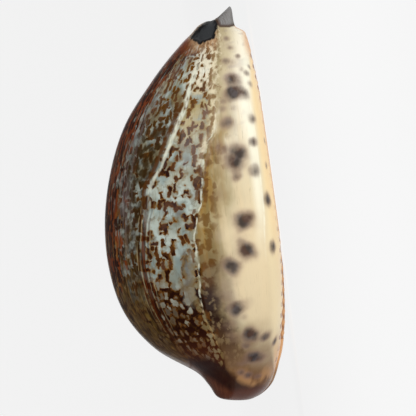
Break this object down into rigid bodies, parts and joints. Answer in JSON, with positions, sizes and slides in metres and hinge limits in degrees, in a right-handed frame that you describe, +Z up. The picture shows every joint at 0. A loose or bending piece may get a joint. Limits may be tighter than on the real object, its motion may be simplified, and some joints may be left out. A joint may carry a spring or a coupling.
{
  "type": "cowrie shell",
  "caption": "Egg-shaped polished cowrie shell with a domed patterned back, a pale base and a long toothed slit between its rolled lips, hollow inside.",
  "frame": {"origin": "middle of the shell's bounding box in X and Y, on the plane the shell rests on", "axes": "+Y towards the narrow front end with the siphon notch, +X towards the outer lip, +Z up over the dome"},
  "size_m": [0.042, 0.07, 0.031],
  "materials": {
    "shell": "polished, porcelain-like gloss"
  },
  "bodies": {
    "root": {"shell": "shell"}
  },
  "joints": []
}
